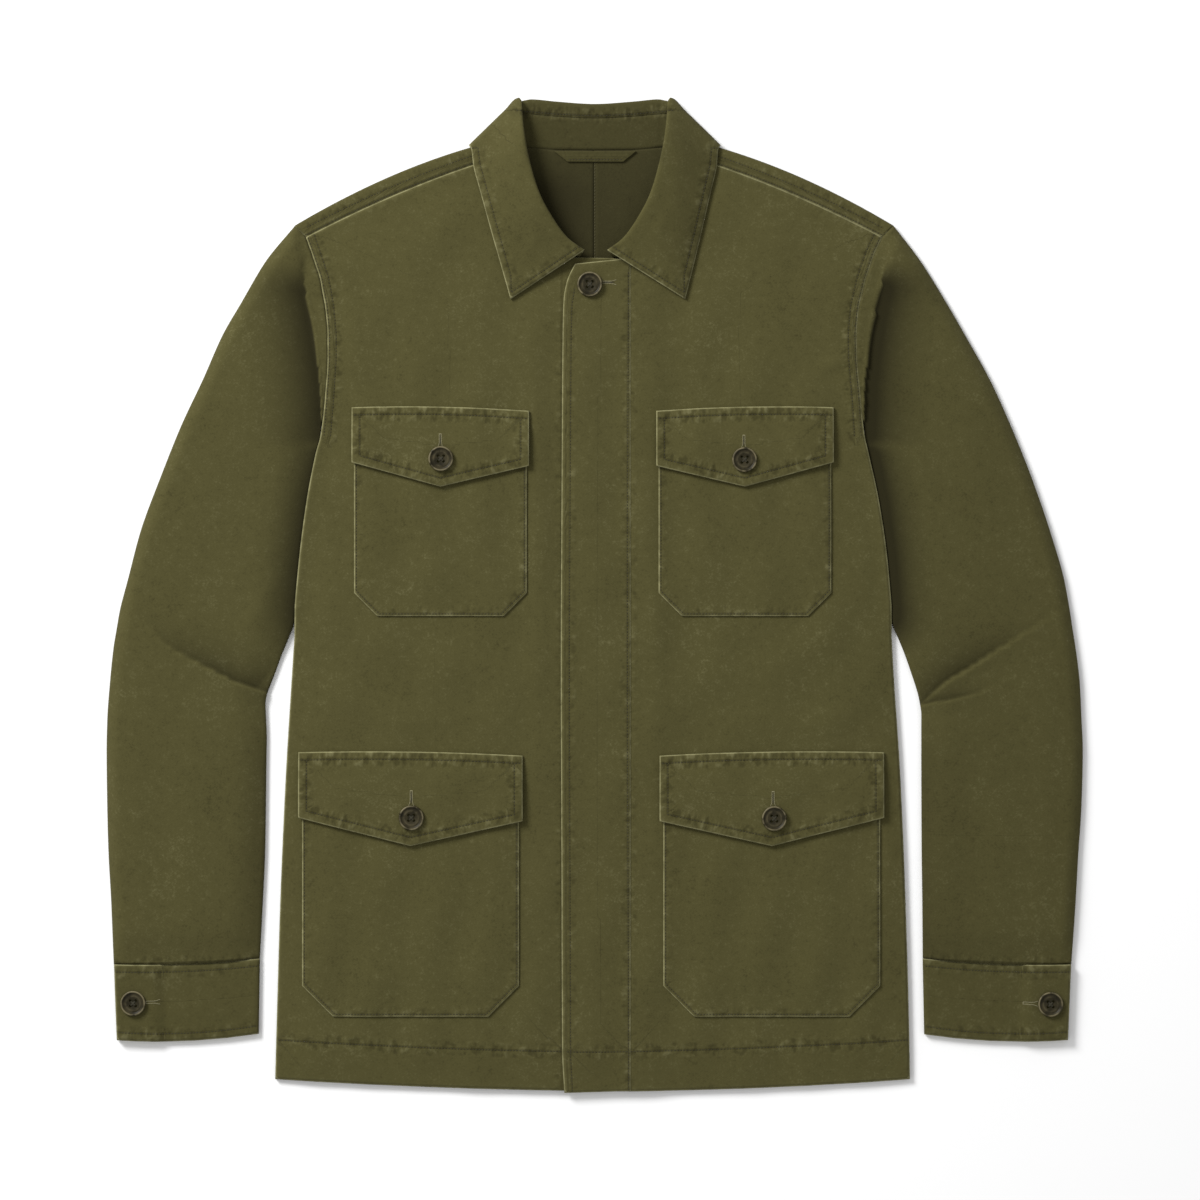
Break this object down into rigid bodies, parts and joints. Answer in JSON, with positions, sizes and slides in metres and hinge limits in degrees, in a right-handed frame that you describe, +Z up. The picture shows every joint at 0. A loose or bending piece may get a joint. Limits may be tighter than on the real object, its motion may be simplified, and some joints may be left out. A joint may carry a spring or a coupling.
{
  "type": "field jacket",
  "caption": "Field jacket laid flat, closed fly front, turned-down collar, long cuffed sleeves, flapped chest and lower patch pockets.",
  "frame": {"origin": "centre of the bounding box, on the surface the jacket lies on", "axes": "+Z up out of the front of the jacket, +Y from hem to collar, +X towards the wearer's left side"},
  "size_m": [0.7608, 0.7752, 0.0102],
  "materials": {
    "olive_twill": "matte olive cotton twill, lightly washed",
    "twill_inside": "matte inside face of the olive cotton twill",
    "thread": "dull polyester sewing thread",
    "button_resin": "semi-gloss dark brown resin"
  },
  "bodies": {
    "root": {"back_right": "twill_inside", "back_left": "twill_inside", "front_right": "olive_twill", "front_left": "olive_twill", "placket": "olive_twill", "sleeve_right": "olive_twill", "sleeve_left": "olive_twill", "cuff_right": "olive_twill", "cuff_left": "olive_twill", "collar_stand": "olive_twill", "collar_leaf": "olive_twill", "hanger_loop": "olive_twill", "chest_pocket_right": "olive_twill", "chest_pocket_left": "olive_twill", "chest_flap_right": "olive_twill", "chest_flap_left": "olive_twill", "lower_pocket_right": "olive_twill", "lower_pocket_left": "olive_twill", "lower_flap_right": "olive_twill", "lower_flap_left": "olive_twill", "button_neck": "button_resin", "button_chest_right": "button_resin", "button_chest_left": "button_resin", "button_lower_right": "button_resin", "button_lower_left": "button_resin", "button_cuff_right": "button_resin", "button_cuff_left": "button_resin"}
  },
  "joints": []
}
